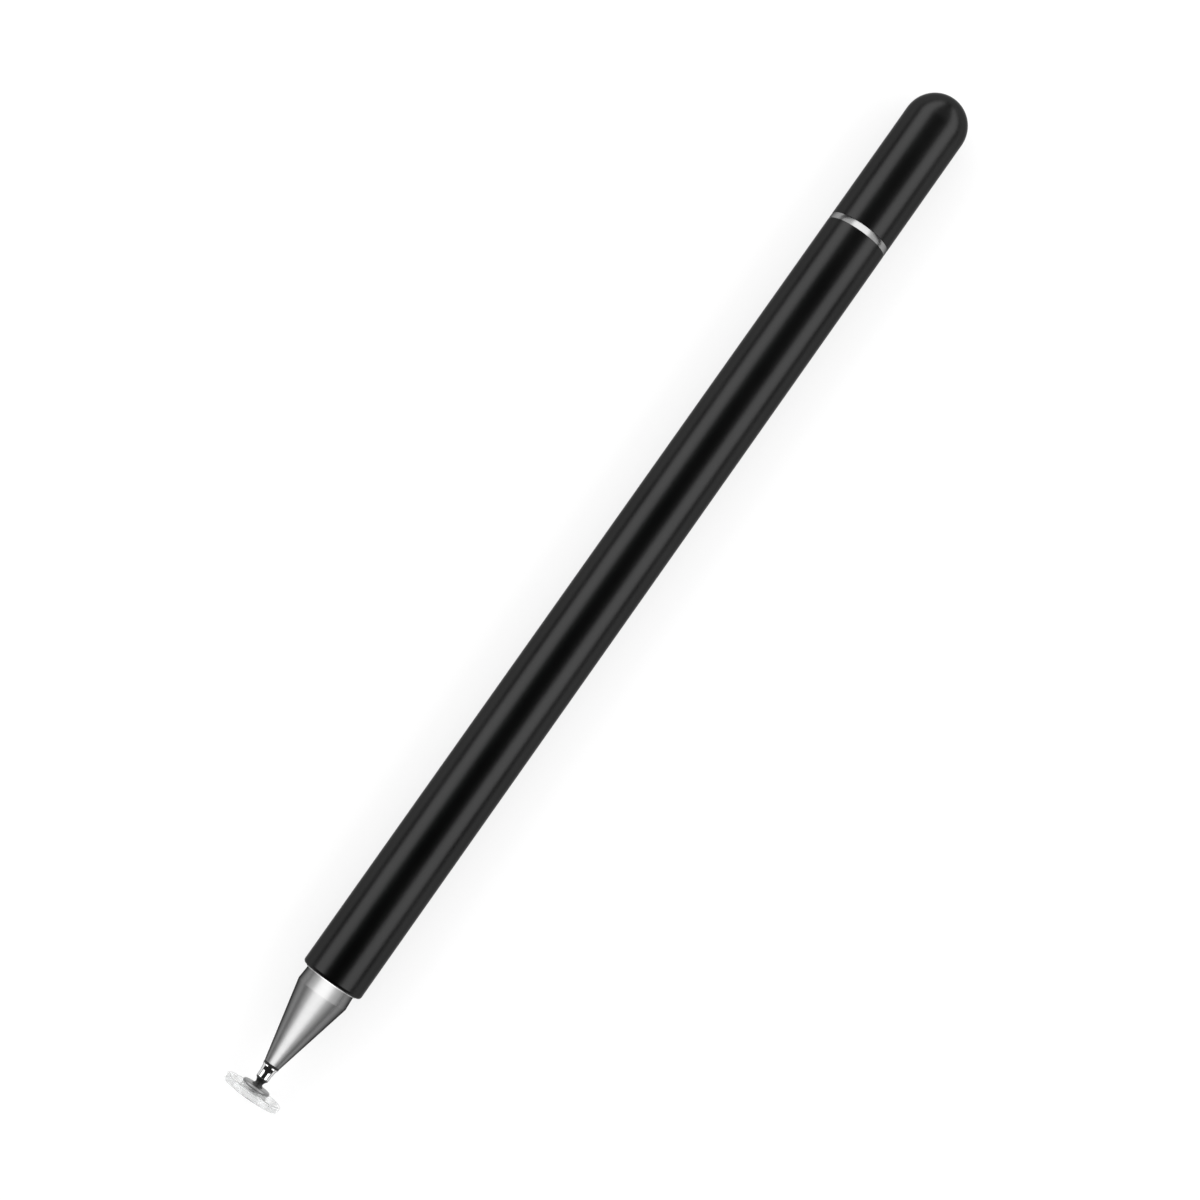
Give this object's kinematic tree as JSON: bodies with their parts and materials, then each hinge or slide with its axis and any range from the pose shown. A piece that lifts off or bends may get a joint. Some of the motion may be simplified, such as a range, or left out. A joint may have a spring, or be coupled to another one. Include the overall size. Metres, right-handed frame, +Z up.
{
  "type": "stylus pen",
  "caption": "Slim touch screen stylus pen with a tilting clear disc tip in a plug-in cartridge, a turned metal cone, a dark metal barrel and a magnet-held domed cap.",
  "frame": {"origin": "on the table, under the middle of the pen's length as it lies on its barrel", "axes": "+X along the pen's axis from the disc tip towards the cap, +Z up, +Y across the pen"},
  "size_m": [0.1654, 0.0092, 0.0092],
  "materials": {
    "dark_anodised": "black anodised, fine satin",
    "satin_aluminium": "turned, lacquered satin silver",
    "bright_chrome": "polished",
    "smoked_chrome": "satin, smoked",
    "dark_plastic": "moulded, semi-matte black",
    "dark_rubber": "conductive rubber, matte black",
    "grey_steel": "satin grey",
    "plated_steel": "nickel plated",
    "clear_adhesive": "clear, slightly hazy",
    "clear_plastic": "clear, polished"
  },
  "bodies": {
    "pen_body": {"barrel": "dark_anodised", "nose_cone": "satin_aluminium", "tail_plug": "dark_plastic", "tail_keeper": "plated_steel", "tail_ring": "smoked_chrome"},
    "cap": {"cap_shell": "dark_anodised", "cap_liner": "dark_plastic", "cap_magnet": "plated_steel"},
    "tip_cartridge": {"tip_tube": "bright_chrome", "tip_collar": "bright_chrome", "seal_washer": "dark_rubber", "tip_tail": "dark_rubber"},
    "ball_stem": {"ball_stem": "dark_plastic"},
    "disc": {"hub_plate": "grey_steel", "bond_pad": "clear_adhesive", "contact_disc": "clear_plastic"}
  },
  "joints": [
    {"name": "cap_pull", "type": "slide", "parent": "pen_body", "child": "cap", "axis": [1, 0, 0], "range_m": [0, 0.012]},
    {"name": "tip_pull", "type": "slide", "parent": "pen_body", "child": "tip_cartridge", "axis": [-1, 0, 0], "range_m": [0, 0.014]},
    {"name": "disc_turn", "type": "hinge", "parent": "tip_cartridge", "child": "ball_stem", "pos_m": [-0.08145, 0, 0.0046], "axis": [1, 0, 0], "continuous": true},
    {"name": "disc_tilt", "type": "hinge", "parent": "ball_stem", "child": "disc", "pos_m": [-0.08145, 0, 0.0046], "axis": [0, 1, 0], "range_deg": [-25, 25]}
  ]
}
